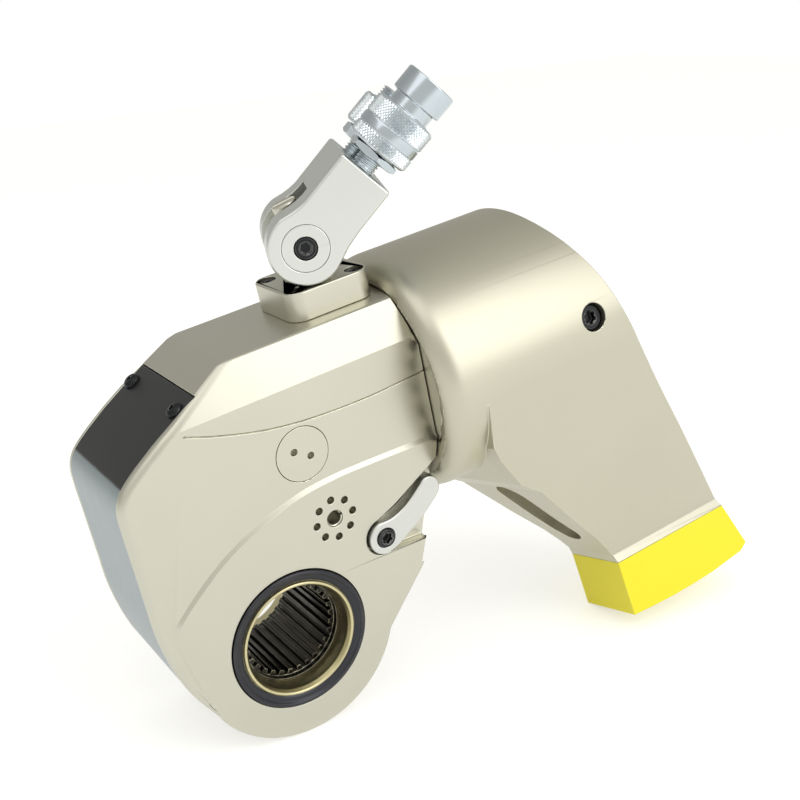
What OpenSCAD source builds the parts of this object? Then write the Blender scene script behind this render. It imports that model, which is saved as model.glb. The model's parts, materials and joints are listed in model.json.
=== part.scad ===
// Hydraulic square-drive torque wrench: housing, ratchet drive, piston, swivel with couplers, reaction arm.
// X runs along the cylinder towards the reaction arm, Y along the drive axis, Z up; the origin is the
// centre of the drive bore on the middle plane. All lengths are millimetres.

/* [Body] */
// Radius of the nose round the drive axis
nose_r = 50; // [44:0.5:60]
// Half thickness of the body below the crease, where it stands a little proud
body_h = 36; // [33:0.5:42]
// Half thickness of the body above the crease
upper_h = 34.8; // [31:0.2:40]
// Half width of the flat top
flat_h = 29; // [24:0.5:32]
// Height where the shoulders start to slant
shoulder_z = 118.3; // [112:0.1:126]
// Half width of the two front plates
plate_h = 30; // [24:0.5:31]
// Height where the black plate ends and the grey one starts
plate_z = 102.3; // [90:0.1:108]
// Height of the cylinder axis above the drive axis
cyl_z = 89.5; // [80:0.5:100]
// Height of the flat top that carries the swivel
top_z = 138; // [130:0.5:150]
// Where the body ends and the collar begins
rear_x = 92; // [88:1:96]
// Half width of the inner cavity
cav_h = 24; // [22:0.5:26]

/* [Drive] */
// Outer radius of the black retaining rings
ring_r = 34; // [30:0.5:40]
// Radial width of the retaining rings
ring_w = 4.45; // [3:0.05:6]
// Wall of the bronze bushes
bush_w = 4; // [3:0.1:6]
// Tip radius of the ratchet teeth
ratchet_r = 40; // [34:0.5:42]
// Number of ratchet teeth
ratchet_n = 40; // [20:1:60]
// Number of splines in the drive bore
spline_n = 30; // [20:1:40]
// Rest tilt of the drive plates from upright
tilt = 14; // [5:0.5:16]
// Running clearance between turning faces
run = 0.05; // [0.02:0.01:0.1]

/* [Cylinder] */
// Bore radius of the cylinder
bore_r = 30; // [24:0.5:32]
// Radius of the piston rod
rod_r = 14; // [10:0.5:18]
// End of the housing's cylinder
boss_x = 160; // [150:1:166]
// Root radius of the reaction splines on the cylinder
boss_r = 44; // [40:0.5:46]
// Tip radius of the reaction splines
boss_t = 47; // [44:0.5:49]
// Number of reaction splines
boss_n = 24; // [16:1:36]

/* [Arm] */
// Outer radius of the collar
cup_r = 60; // [55:0.5:66]
// Front rim of the collar
rim_x = 87; // [84:1:96]
// Index of the reaction arm about the cylinder
arm_turn = 15; // [0:15:345]
// Half width of the reaction foot
foot_h = 20.5; // [16:0.5:26]
// Front of the reaction foot
foot_x = 172.5; // [165:0.5:200]
// Length of the reaction foot
foot_l = 79.5; // [60:0.5:100]
// Height where the yellow foot cover starts
foot_z = -46.5; // [-60:0.5:-40]
// Thickness of the foot cover
cover_t = 2.2; // [1.5:0.1:4]

/* [Swivel] */
// Place of the swivel along the body
sw_x = 62.5; // [55:0.5:70]
// Height of the pin above the flat top
pin_up = 31.3; // [31:0.1:42]
// Radius of the fork's eye
eye_r = 17.2; // [15:0.1:18]
// Length of the fork block from the pin
fork_l = 42; // [36:0.5:50]
// Half width of the fork block
fork_h = 21; // [20.5:0.5:24]
// Yaw of the swivel as shown
sw_yaw = -22; // [-180:1:180]
// Pitch of the fork above level as shown
sw_pitch = 38; // [0:0.1:90]
// Half distance between the two couplers
coup_y = 14.5; // [14:0.5:18]
// Radius of the couplers' stems
stem_r = 5.5; // [4:0.1:6]
// Radius of the nearer coupler's knurled sleeve
sleeve_r = 15; // [13:0.1:15.2]
// Radius of the farther coupler's knurled collar
collar_r = 13.6; // [11:0.1:13.7]

/* [Hidden] */
$fn = 96;
// Space for a fastener beside its hole
fit = 0.05;
// Height of the fork's pin
pin_z = top_z + pin_up;
// Outer and inner radius of the bronze bushes, which the ring goes round
bush_o = ring_r - ring_w - fit;
bush_r = bush_o - bush_w;
// Root and tip radius of the drive bore's splines, and the plain pilot at its ends
spline_o = bush_r - 1.9;
spline_i = bush_r - 4.3;
pilot_r = bush_r - 1.5;
// Shoulder of the ratchet wheel that the drive plates turn on
shoulder_r = bush_o + 0.5;
// Places of the lever's shaft, the side handle, the side plug and the arm's screw
lever_x = 53;
lever_z = 30;
handle_x = 31;
handle_z = 50;
plug_x = 23.6;
plug_z = 86.2;
plug_r = 12.8;
lock_x = boss_x + 15;
lock_z = 86.5;
// Underside of the reaction foot
foot_end = foot_z - 30;
// Piston: back face, thickness, and the groove for its seal
piston_x = 132;
piston_t = 17;
groove_x = piston_x + 6;
groove_w = 5;
groove_r = bore_r - 3.5;
// Gap and slope of the seat that the body's end has in the collar
seat_gap = 0.5;
seat_slope = 0.46;
function seat_x(r, gap) = rear_x + gap - max(0, r - boss_r + 2) * seat_slope;
// Half thickness the drive plates stand at
plate_i = 13;
plate_o = 21;
// Front of the rod gland and of the cylinder cap
gland_x = 72;
cap_x = boss_x - 10;
// Back of the cap's step and of its spigot
step_x = boss_x + 11;
spigot_x = boss_x + 18.5;
// Place of the rod pin at rest
pin_x = cyl_z * tan(tilt);

function arc(cx, cz, r, a0, a1, n) = [for (i = [0:n]) [cx + r * cos(a0 + (a1 - a0) * i / n), cz + r * sin(a0 + (a1 - a0) * i / n)]];

// Side outline of the body without the nose cylinder.
outline = [[rear_x, 64], [90.5, 56], [86.5, 46], [77.5, 23], [73.5, 8], [46, -19], [0, -30], [-46, -19], [-53, -6], [-57.5, 6], [-60.5, 20],
    [-62, 34], [-62, 88], [-61.2, 95], [-58.6, 100.4], [-54.6, 104.6], [-48, 109.6], [-38, 116.2], [-2.4, 137], [1.5, top_z], [rear_x, top_z]];
// Below this crease the body stands proud.
crease = [[rear_x + 2, 66], [50, 68.3], [34, 68.6], [18, 67.4], [2, 63.4], [-15, 57], [-30, 48.6], [-45, 37.6], [-58, 24], [-66, 14],
    [-66, -60], [rear_x + 2, -60]];

module along_y(h0, h1) { translate([0, h1, 0]) rotate([90, 0, 0]) linear_extrude(height = h1 - h0) children(); }
module y_rod(x, z, r, y0, y1) { translate([x, y1, z]) rotate([90, 0, 0]) cylinder(r = r, h = y1 - y0); }
module x_rod(r, x0, x1, z = cyl_z) { translate([x0, 0, z]) rotate([0, 90, 0]) cylinder(r = r, h = x1 - x0); }
module z_rod(x, y, r, z0, z1) { translate([x, y, z0]) cylinder(r = r, h = z1 - z0); }
module x_rev(pts, z = cyl_z) { translate([0, 0, z]) rotate([0, 90, 0]) rotate_extrude() polygon(pts); }
// A hexagon socket sunk along -Z from the place it is called at.
module hex_sink(af, depth) { translate([0, 0, -depth]) cylinder(r = af / sqrt(3), h = depth + 1, $fn = 6); }

function teeth(n, r0, r1, w0, w1) = [for (i = [0:n - 1]) each [
    [r0 * cos(360 * i / n - w0), r0 * sin(360 * i / n - w0)], [r1 * cos(360 * i / n - w1), r1 * sin(360 * i / n - w1)],
    [r1 * cos(360 * i / n + w1), r1 * sin(360 * i / n + w1)], [r0 * cos(360 * i / n + w0), r0 * sin(360 * i / n + w0)]]];

module housing_trim() {
    // Section looked at along X: straight sides, slanted shoulders and the flat top.
    lean = (upper_h - flat_h) / (top_z - shoulder_z);
    rotate([90, 0, 90]) linear_extrude(height = 300, center = true)
        polygon([[-60, -80], [60, -80], [60, shoulder_z - 4], [upper_h + 4 * lean, shoulder_z - 4], [flat_h - 5 * lean, top_z + 5],
            [5 * lean - flat_h, top_z + 5], [-upper_h - 4 * lean, shoulder_z - 4], [-60, shoulder_z - 4]]);
}
module housing_seat() {
    // The body's end fits the cone of the collar's mouth.
    x_rev([[0, -100], [200, -100], [200, 200], [62, 200], [62, seat_x(62, 0)], [boss_r - 2, rear_x], [0, rear_x]]);
}

module spline_boss() {
    translate([rear_x - 1, 0, cyl_z]) rotate([0, 90, 0]) linear_extrude(height = boss_x - rear_x + 1)
        polygon(teeth(boss_n, boss_r, boss_t, 5.1, 3.2));
}

module shroud_band(tx, tz, h, lo, hi) {
    // A bent strip that follows the front of the outline, between two heights.
    intersection() {
        difference() {
            along_y(-h, h) polygon(outline);
            translate([tx, 0, tz]) along_y(-h - 1, h + 1) polygon(outline);
        }
        translate([-80, -h - 2, lo]) cube([64.2, 2 * h + 4, hi - lo]);
    }
}

module main_housing() {
    color("#d2d0bd") difference() {
        union() {
            intersection() {
                union() {
                    along_y(-upper_h, upper_h) polygon(outline);
                    intersection() {
                        along_y(-body_h, body_h) polygon(outline);
                        along_y(-body_h - 1, body_h + 1) polygon(crease);
                    }
                }
                housing_trim();
                housing_seat();
            }
            y_rod(0, 0, nose_r, -body_h, body_h);
            x_rod(boss_r, rear_x - 2, boss_x);
            difference() {
                spline_boss();
                x_rod(boss_t + 5, 60, rear_x + 3);
            }
        }
        // Inner room for the ratchet and the drive plates.
        y_rod(0, 0, ratchet_r + 2.5, -cav_h, cav_h);
        along_y(-cav_h, cav_h) polygon([[-46, 4], [-50, 30], [-50, 90], [-44, 104], [-30, 108], [66, 108], [68, 30], [54.5, 13], [43, 4]]);
        // Bores for the bushes, the retaining rings and the drive.
        y_rod(0, 0, bush_o, -60, 60);
        y_rod(0, 0, ring_r + fit, -60, -body_h + 4);
        y_rod(0, 0, ring_r + fit, body_h - 4, 60);
        // Cylinder bore, rod passage and cap seat.
        x_rod(bore_r, gland_x, boss_x + 1);
        x_rod(18, 60, gland_x + 1);
        x_rod(33, cap_x, boss_x + 1);
        // Front channel and opening for the shroud plates.
        shroud_band(2.7, -2.2, plate_h + 0.2, -6, 134);
        translate([-70, -19, 20]) cube([30, 38, 62]);
        // Access bore under the side plug.
        y_rod(plug_x, plug_z, plug_r + fit, -60, -cav_h - 1);
        y_rod(plug_x, plug_z, 10, -60, 0);
        // Side handle holes, both sides.
        for (s = [-1, 1]) {
            y_rod(handle_x, handle_z, 4, s < 0 ? -60 : body_h - 7.5, s < 0 ? -body_h + 7.5 : 60);
            for (a = [0:45:315]) y_rod(handle_x + 9.5 * cos(a), handle_z + 9.5 * sin(a), 1.7, s < 0 ? -60 : body_h - 5, s < 0 ? -body_h + 5 : 60);
        }
        // Lever recess and shaft bore.
        along_y(-60, -body_h + 5.5) polygon([[48.5, 19.8], [53, 18.6], [100, 17], [100, 62], [62, 43], [48, 40.3], [43, 37], [41.6, 31], [43, 24]]);
        y_rod(lever_x, lever_z, 6 + run, -60, body_h - 6);
        // Shroud screw holes.
        for (s = [-1, 1]) shroud_hole(s) cylinder(r = 2 + fit, h = 30, center = true);
        // Seat of the swivel base: screws and the post's lower ring.
        for (sx = [-1, 1], sy = [-1, 1]) z_rod(sw_x + 15.5 * sx, 14 * sy, 2.5 + fit, top_z - 14, top_z + 2);
        z_rod(sw_x, 0, 5, top_z - 12, top_z + 1);
    }
}

module shroud_hole(s) { translate([-23.8, (plate_h - 4.5) * s, 124.4]) rotate([0, -30.3, 0]) children(); }

module front_shroud() {
    color("#2e2e2c") difference() {
        intersection() {
            translate([0.15, 0, -0.1]) shroud_band(2.55, -2.1, plate_h, plate_z, 134);
            translate([-90, -40, plate_z + 0.1]) cube([74, 80, 40]);
        }
        for (s = [-1, 1]) shroud_hole(s) cylinder(r = 2.2, h = 30, center = true);
    }
}

module lower_shroud() {
    color("#9aa5a6") translate([0.15, 0, -0.1]) shroud_band(2.55, -2.1, plate_h, -5.6, plate_z - 0.1);
}

module shroud_screws() {
    color("#26282b") for (s = [-1, 1]) shroud_hole(s) difference() {
        union() {
            translate([0, 0, -9]) cylinder(r = 2, h = 9.5);
            translate([0, 0, 0]) rotate_extrude() polygon([[0, 0.2], [4, 0.2], [4, 0.8], [3.4, 1.8], [2.2, 2.4], [0, 2.4]]);
        }
        translate([0, 0, 2.4]) hex_sink(2.5, 1.5);
    }
}

module side_plug() {
    color("#d2d0bd") difference() {
        y_rod(plug_x, plug_z, plug_r, -upper_h, -cav_h - 1);
        for (s = [-1, 1]) y_rod(plug_x + 3.7 * s, plug_z - 2.3 * s, 1.7, -upper_h - 1, -upper_h + 4);
    }
}

module drive_bush(s) {
    color("#b9ad7a") scale([1, s, 1]) rotate([90, 0, 0]) rotate_extrude()
        polygon([[bush_r + 1.2, body_h + 0.4], [bush_r, body_h - 1], [bush_r, 21.9], [bush_o, 21.9], [bush_o, body_h + 0.4]]);
}
module drive_bush_near() { drive_bush(1); }
module drive_bush_far() { mirror([0, 1, 0]) drive_bush(1); }

module retaining_ring() {
    color("#33363a") rotate([90, 0, 0]) rotate_extrude()
        polygon([[bush_o + fit, body_h - 4], [ring_r, body_h - 4], [ring_r, body_h + 0.5], [ring_r - 1, body_h + 1.2], [bush_o + 1.2, body_h + 1.2], [bush_o + fit, body_h + 0.4]]);
}
module retaining_ring_near() { retaining_ring(); }
module retaining_ring_far() { mirror([0, 1, 0]) retaining_ring(); }

module rod_gland() {
    color("#b9ad7a") x_rev([[rod_r + run, gland_x], [bore_r, gland_x], [bore_r, gland_x + 14], [rod_r + run, gland_x + 14], [rod_r + run, gland_x + 10],
        [rod_r + 3, gland_x + 10], [rod_r + 3, gland_x + 5], [rod_r + run, gland_x + 5]]);
}
module rod_seal() { color("#1d1d1d") x_rev([[rod_r + 0.02, gland_x + 5], [rod_r + 3, gland_x + 5], [rod_r + 3, gland_x + 10], [rod_r + 0.02, gland_x + 10]]); }

module cylinder_cap() {
    color("#8d8f8c") difference() {
        x_rev([[0, cap_x], [30.4, cap_x], [30.4, cap_x + 2], [28, cap_x + 2], [28, cap_x + 5], [33, cap_x + 5], [33, boss_x - 0.5], [32, boss_x],
            [16, boss_x], [16, step_x], [13, step_x], [13, spigot_x], [0, spigot_x]]);
        for (a = [0:90:270]) translate([boss_x - 4, 0, cyl_z]) rotate([a, 0, 0]) translate([0, 24, 0]) rotate([0, 90, 0]) cylinder(r = 3, h = 10);
    }
}
module cap_seal() { color("#1d1d1d") x_rev([[28, cap_x + 2], [33, cap_x + 2], [33, cap_x + 5], [28, cap_x + 5]]); }

module ratchet_wheel() {
    color("#5b5a55") difference() {
        union() {
            along_y(-12.6, 12.6) polygon(teeth(ratchet_n, ratchet_r - 3, ratchet_r, 4.1, 0.9));
            y_rod(0, 0, shoulder_r, -21.3, 21.3);
            y_rod(0, 0, bush_r - run, -27, 27);
        }
        along_y(-30, 30) polygon(teeth(spline_n, spline_i, spline_o, 3.2, 2.2));
        for (s = [-1, 1]) y_rod(0, 0, pilot_r, s < 0 ? -30 : 24, s < 0 ? -24 : 30);
    }
}

module plate_place() { rotate([0, tilt, 0]) children(); }

module drive_plate(y0, y1) {
    color("#77766f") plate_place() difference() {
        union() {
            y_rod(0, 0, ratchet_r - 1.5, y0, y1);
            along_y(y0, y1) polygon([[-36, 12], [-16, 70], [-15, 96], [-12, 99], [12, 99], [15, 96], [16, 70], [36, 12]]);
        }
        y_rod(0, 0, shoulder_r + run, y0 - 1, y1 + 1);
        along_y(y0 - 1, y1 + 1) polygon([[-8.4, 82], [-8.4, 120], [8.4, 120], [8.4, 82], [4, 80], [-4, 80]]);
        y_rod(-4, 59, 5, y0 - 1, y1 + 1);
    }
}
module drive_plate_near() { drive_plate(-plate_o, -plate_i); }
module drive_plate_far() { drive_plate(plate_i, plate_o); }

module drive_pawl() {
    color("#5b5a55") plate_place() difference() {
        union() {
            y_rod(-4, 59, 9, -12.7, 12.7);
            along_y(-12.7, 12.7) polygon([[-4, 66], [-4, 52], [-18, 39.5], [-23.5, 35], [-26, 34.4], [-27, 40], [-20, 52]]);
        }
        y_rod(-4, 59, 5 + run, -20, 20);
    }
}
module pawl_pin() { color("#8d8f8c") plate_place() y_rod(-4, 59, 5, -plate_o, plate_o); }

module piston() {
    color("#8d8f8c") x_rev([[0, piston_x], [bore_r - run, piston_x], [bore_r - run, groove_x], [groove_r, groove_x], [groove_r, groove_x + groove_w],
        [bore_r - run, groove_x + groove_w], [bore_r - run, piston_x + piston_t], [0, piston_x + piston_t]]);
}
module piston_seal() { color("#1d1d1d") x_rev([[groove_r, groove_x], [bore_r - 0.02, groove_x], [bore_r - 0.02, groove_x + groove_w], [groove_r, groove_x + groove_w]]); }

module piston_rod() {
    color("#c9ccce") difference() {
        union() {
            x_rod(rod_r, 60, piston_x);
            intersection() {
                x_rod(rod_r, 34, 61);
                translate([30, -12.5, cyl_z - 20]) cube([40, 25, 40]);
            }
            intersection() {
                union() {
                    y_rod(pin_x, cyl_z, 13, -12.5, 12.5);
                    translate([pin_x, -12.5, cyl_z - 12.5]) cube([20, 25, 25]);
                }
                x_rod(17, 0, 80);
            }
        }
        y_rod(pin_x, cyl_z, 8, -40, 40);
    }
}
module rod_pin() { color("#8d8f8c") y_rod(pin_x, cyl_z, 8, -plate_o, plate_o); }

module release_lever() {
    color("#c4c5c0") difference() {
        union() {
            y_rod(lever_x, lever_z, 8.4, -body_h - 2.2, -body_h + 5.2);
            along_y(-body_h - 2.2, -body_h + 5.2) polygon([[51, 38], [58, 37.4], [67, 41.2], [75.5, 47.4], [78.6, 49.8], [81.8, 50.4], [85, 48.6],
                [86.6, 45.2], [86, 41.5], [83.8, 38.6], [80, 35.6], [73.5, 31], [66, 27], [59, 23.4], [53, 21.6]]);
        }
        y_rod(lever_x, lever_z, 4.9, -60, -body_h + 1.5);
        y_rod(lever_x, lever_z, 3 + fit, -60, 0);
    }
}
module lever_shaft() {
    color("#8d8f8c") difference() {
        y_rod(lever_x, lever_z, 6, -body_h + 5.2, body_h - 6.5);
        y_rod(lever_x, lever_z, 3 + fit, -60, -12);
    }
}
module lever_screw() {
    color("#26282b") difference() {
        union() {
            y_rod(lever_x, lever_z, 4.7, -body_h - 3.4, -body_h + 1.5);
            y_rod(lever_x, lever_z, 3, -body_h + 1, -12.5);
        }
        translate([lever_x, -body_h - 3.4, lever_z]) rotate([90, 0, 0]) hex_sink(5, 3);
    }
}
module reaction_pawl() {
    color("#5b5a55") difference() {
        union() {
            y_rod(lever_x, lever_z, 10, -12.3, 12.3);
            along_y(-12.3, 12.3) polygon([[53, 40], [53, 22], [40, 26], [25.6, 32], [24.2, 33.6], [25, 36.5], [32, 38.5]]);
        }
        y_rod(lever_x, lever_z, 6, -20, 20);
    }
}

module at_swivel() { translate([sw_x, 0, 0]) rotate([0, 0, sw_yaw]) children(); }

module swivel_base() {
    color("#d2d0bd") difference() {
        union() {
            translate([sw_x - 21.5, -12, top_z]) cube([43, 24, 13.5]);
            translate([sw_x - 13.5, -20, top_z]) cube([27, 40, 13.5]);
            for (sx = [-1, 1], sy = [-1, 1]) z_rod(sw_x + 13.5 * sx, 12 * sy, 8, top_z, top_z + 13.5);
        }
        z_rod(sw_x, 0, 12 + run, top_z - 1, top_z + 20);
        z_rod(sw_x, 0, 16.6, top_z - 1, top_z + 3.5);
        for (sx = [-1, 1], sy = [-1, 1]) {
            z_rod(sw_x + 15.5 * sx, 14 * sy, 2.5 + fit, top_z - 1, top_z + 20);
            z_rod(sw_x + 15.5 * sx, 14 * sy, 4.5, top_z + 7.5, top_z + 20);
        }
    }
}
module base_screws() {
    color("#26282b") for (sx = [-1, 1], sy = [-1, 1]) translate([sw_x + 15.5 * sx, 14 * sy, top_z]) difference() {
        union() {
            translate([0, 0, -13]) cylinder(r = 2.5, h = 21);
            translate([0, 0, 7.5]) cylinder(r = 4.25, h = 5);
        }
        translate([0, 0, 12.5]) hex_sink(4, 2.5);
    }
}
module swivel_post() {
    color("#d2d0bd") difference() {
        at_swivel() union() {
            rotate_extrude() polygon([[0, top_z + 0.6], [10.4, top_z + 0.6], [10.4, top_z + 2.6], [12, top_z + 2.6], [12, top_z + 5.5], [10.6, top_z + 5.5],
                [10.6, top_z + 7.5], [12, top_z + 7.5], [12, top_z + 9.5], [10.6, top_z + 9.5], [10.6, top_z + 11.5], [12, top_z + 11.5],
                [12, top_z + 13.6], [0, top_z + 13.6]]);
            translate([-11, -7.9, top_z + 12]) intersection() {
                cube([22, 15.8, pin_z - top_z - 12]);
                translate([11, 7.9, 0]) cylinder(r = 12, h = 60);
            }
            y_rod(0, pin_z, 14.5, -7.9, 7.9);
        }
        at_swivel() y_rod(0, pin_z, 8 + run, -20, 20);
    }
}
module post_ring() { color("#33363a") at_swivel() rotate_extrude() polygon([[10.4, top_z + 0.6], [16.2, top_z + 0.6], [16.2, top_z + 2.6], [10.4, top_z + 2.6]]); }
module post_seals() {
    color("#1d1d1d") at_swivel() for (z = [5.5, 9.5]) rotate_extrude() polygon([[10.6, top_z + z], [12.03, top_z + z], [12.03, top_z + z + 2], [10.6, top_z + z + 2]]);
}

module at_fork() { translate([sw_x, 0, pin_z]) rotate([0, -sw_pitch, sw_yaw]) children(); }

module swivel_fork() {
    color("#c5c8c3") at_fork() difference() {
        union() {
            y_rod(0, 0, eye_r, -fork_h, fork_h);
            along_y(-fork_h, fork_h) polygon([[0, 0.3 - eye_r], [5, 0.7 - eye_r], [12, -14.8], [20, -13.9], [fork_l - 1, -13.4], [fork_l, -12.4], [fork_l, 13.2],
                [fork_l - 1, 14.2], [16, 13.8], [12, 14.3], [8, 15.3], [0, eye_r - 0.3]]);
        }
        // Slot for the post's eye.
        translate([-30, -8.3, -30]) cube([49.5, 16.6, 60]);
        y_rod(0, 0, 8 + run, -40, 40);
        for (s = [-1, 1]) {
            y_rod(0, 0, 10.8, s < 0 ? -40 : fork_h - 4, s < 0 ? 4 - fork_h : 40);
            translate([fork_l - 14, coup_y * s, 2]) rotate([0, 90, 0]) cylinder(r = stem_r + fit, h = 20);
        }
    }
}
module fork_pin() {
    color("#c5c8c3") at_fork() difference() {
        union() {
            y_rod(0, 0, 8, 3.5 - fork_h, fork_h - 3.5);
            for (s = [-1, 1]) y_rod(0, 0, 10.75, s < 0 ? 0.1 - fork_h : fork_h - 4, s < 0 ? 4 - fork_h : fork_h - 0.1);
        }
        for (s = [-1, 1]) {
            y_rod(0, 0, 5.4, s < 0 ? -40 : fork_h - 2.6, s < 0 ? 2.6 - fork_h : 40);
            y_rod(0, 0, 3 + fit, s < 0 ? -40 : 6, s < 0 ? -6 : 40);
        }
    }
}
module pin_screws() {
    color("#26282b") at_fork() for (s = [-1, 1]) rotate([90 * s, 0, 0]) difference() {
        union() {
            translate([0, 0, fork_h - 2.6]) cylinder(r = 5.3, h = 2.2);
            translate([0, 0, 6.5]) cylinder(r = 3, h = 13);
        }
        translate([0, 0, fork_h - 0.4]) hex_sink(5, 1.7);
    }
}

module at_coupler(s) { at_fork() translate([0, coup_y * s, 2]) rotate([0, 90, 0]) children(); }

module coupler_body_near() {
    color("#cfd6da") at_coupler(-1) difference() {
        union() {
            rotate_extrude() polygon([[0, fork_l - 13.8], [stem_r, fork_l - 13.8], [stem_r, 47.4], [8.5, 48.2], [8.5, 51.6], [sleeve_r - 3.8, 51.6], [sleeve_r - 3.8, 72.4],
                [9.9, 72.8], [9.9, 77.4], [12.1, 77.9], [12.1, 88.6], [11.7, 89.1], [0, 89.1]]);
            translate([0, 0, 47.8]) cylinder(r = 12.6, h = 3.6, $fn = 6);
        }
        translate([0, 0, 66]) cylinder(r = 7.4, h = 30);
        translate([0, 0, 20]) cylinder(r = 3, h = 60);
    }
}
module coupler_sleeve_near() {
    color("#cfd6da") at_coupler(-1) rotate_extrude() polygon([[sleeve_r - 3.8 + run, 51.8], [sleeve_r - 0.8, 51.8], [sleeve_r, 52.6], [sleeve_r, 58], [sleeve_r - 0.6, 58.4],
        [sleeve_r - 0.6, 62.6], [sleeve_r, 63], [sleeve_r, 71.4], [sleeve_r - 0.8, 72.2], [sleeve_r - 3.8 + run, 72.2]]);
}
module coupler_poppet_near() { color("#b0b4b6") at_coupler(-1) rotate_extrude() polygon([[0, 71], [7.35, 71], [7.35, 81], [5, 84], [0, 84]]); }
module coupler_body_far() {
    color("#cfd6da") at_coupler(1) difference() {
        union() {
            rotate_extrude() polygon([[0, fork_l - 13.8], [stem_r, fork_l - 13.8], [stem_r, 47.4], [8, 48.2], [8, 53.6], [collar_r - 3.6, 53.6], [collar_r - 3.6, 69.4],
                [9, 70], [9, 75.4], [8.4, 76], [0, 76]]);
            translate([0, 0, 47.8]) cylinder(r = 12, h = 5.4, $fn = 6);
        }
        translate([0, 0, 62]) cylinder(r = 5.95, h = 30);
        translate([0, 0, 20]) cylinder(r = 3, h = 60);
    }
}
module coupler_sleeve_far() {
    color("#cfd6da") at_coupler(1) rotate_extrude() polygon([[collar_r - 3.6 + run, 53.8], [collar_r - 0.8, 53.8], [collar_r, 54.6], [collar_r, 68.4], [collar_r - 0.8, 69.2],
        [collar_r - 3.6 + run, 69.2]]);
}
module coupler_poppet_far() { color("#b0b4b6") at_coupler(1) rotate_extrude() polygon([[0, 66], [5.9, 66], [5.9, 71], [3.5, 74], [0, 74]]); }

module at_arm() { translate([0, 0, cyl_z]) rotate([-arm_turn, 0, 0]) translate([0, 0, -cyl_z]) children(); }

// Front edge of the arm's web, and the back and end of the whole arm, in its own upright place.
arm_front = [[107.5, 84], [107.5, 46], [110.5, 38], [120, 21.4], [126, 16.6], [131, 13], [150, -12.5], [162, -27.5], [168, -36.5], [171, -42],
    [foot_x, foot_z], [foot_x, -120], [400, -120], [400, 84]];
arm_back = [[60, 170], [60, foot_end], [foot_x - 0.1, foot_end], [foot_x + 14, foot_end - 1.1], [foot_x + 28, foot_end - 1.7],
    [foot_x + foot_l - 37, foot_end - 1.8], [foot_x + foot_l - 22, foot_end - 1.3], [foot_x + foot_l, foot_end + 0.9], [foot_x + foot_l + 5, foot_end + 4],
    [foot_x + foot_l - 4, foot_z], [224, 10], [211, 39],
    [199.5, 67], [192.5, 85.5], [186.5, 104], [179, 124], [173.5, 138], [170, 151], [166, 170]];

module arm_shape() {
    // A round collar and cup, with straight web sides that narrow down to the foot.
    intersection() {
        union() {
            x_rev([[0, rim_x], [50, rim_x], [53, rim_x + 0.4], [56.5, rim_x + 2.4], [58.8, rim_x + 5], [59.8, rim_x + 8.5], [cup_r, rim_x + 11], [cup_r, 260], [0, 260]]);
            intersection() {
                along_y(-70, 70) polygon(arm_front);
                rotate([90, 0, 90]) translate([0, 0, 40]) linear_extrude(height = 300)
                    polygon([[-foot_h, -90], [foot_h, -90], [foot_h, foot_z], [foot_h - 0.8, foot_z + 5], [cup_r - 2.8, cyl_z - 18.9], [40, cyl_z], [-40, cyl_z], [2.8 - cup_r, cyl_z - 18.9],
                        [0.8 - foot_h, foot_z + 5], [-foot_h, foot_z]]);
            }
        }
        along_y(-80, 80) polygon(arm_back);
    }
}

module foot_core() { translate([foot_x + cover_t, -foot_h + cover_t, foot_end + cover_t]) cube([foot_l - 7.5, 2 * (foot_h - cover_t), foot_z - foot_end - cover_t + 1]); }

module reaction_arm() {
    color("#c8c5b4") at_arm() difference() {
        union() {
            difference() {
                arm_shape();
                translate([100, -60, -120]) cube([200, 120, 120 + foot_z]);
            }
            foot_core();
        }
        // Splined bore with a conical mouth for the body, and the smaller bore for the cap's spigot.
        x_rod(boss_r + 0.3, 60, boss_x + 3);
        translate([60, 0, cyl_z]) rotate([arm_turn, 0, 0]) rotate([0, 90, 0]) linear_extrude(height = boss_x - 58) polygon(teeth(boss_n, boss_r, boss_t + 0.3, 5.4, 3.5));
        x_rod(16.4, boss_x, spigot_x + 1);
        x_rev([[0, rim_x - 8], [62, rim_x - 8], [62, seat_x(62, seat_gap)], [boss_r - 2, rear_x + seat_gap], [0, rear_x + seat_gap]]);
        arm_pocket();
        // Cross bore for the arm screw.
        y_rod(lock_x, lock_z, 6.8, -70, -52);
        y_rod(lock_x, lock_z, 4 + fit, -70, -10);
    }
}
// Long pocket in the underside.
module arm_pocket() {
    translate([148, 0, -9.5]) rotate([0, -36, 0]) rotate([0, 90, 0]) translate([0, 0, -7]) linear_extrude(height = 16)
        polygon(concat(arc(-17, 0, 9, 90, 270, 12), arc(17, 0, 9, -90, 90, 12)));
}

module arm_screw() {
    color("#26282b") at_arm() difference() {
        union() {
            y_rod(lock_x, lock_z, 6.4, -57, -52);
            y_rod(lock_x, lock_z, 4, -53, -17);
        }
        translate([lock_x, -57, lock_z]) rotate([90, 0, 0]) hex_sink(6, 3.5);
    }
}
module foot_cover() {
    color("#fdf11a") at_arm() difference() {
        intersection() {
            arm_shape();
            translate([100, -60, -120]) cube([200, 120, 120 + foot_z]);
        }
        foot_core();
    }
}

main_housing();
front_shroud();
lower_shroud();
shroud_screws();
side_plug();
drive_bush_near();
drive_bush_far();
retaining_ring_near();
retaining_ring_far();
rod_gland();
rod_seal();
cylinder_cap();
cap_seal();
swivel_base();
base_screws();
ratchet_wheel();
drive_plate_near();
drive_plate_far();
drive_pawl();
pawl_pin();
piston();
piston_seal();
piston_rod();
rod_pin();
release_lever();
lever_shaft();
lever_screw();
reaction_pawl();
swivel_post();
post_seals();
post_ring();
swivel_fork();
fork_pin();
pin_screws();
coupler_body_near();
coupler_body_far();
coupler_sleeve_near();
coupler_sleeve_far();
coupler_poppet_near();
coupler_poppet_far();
reaction_arm();
arm_screw();
foot_cover();
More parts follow.
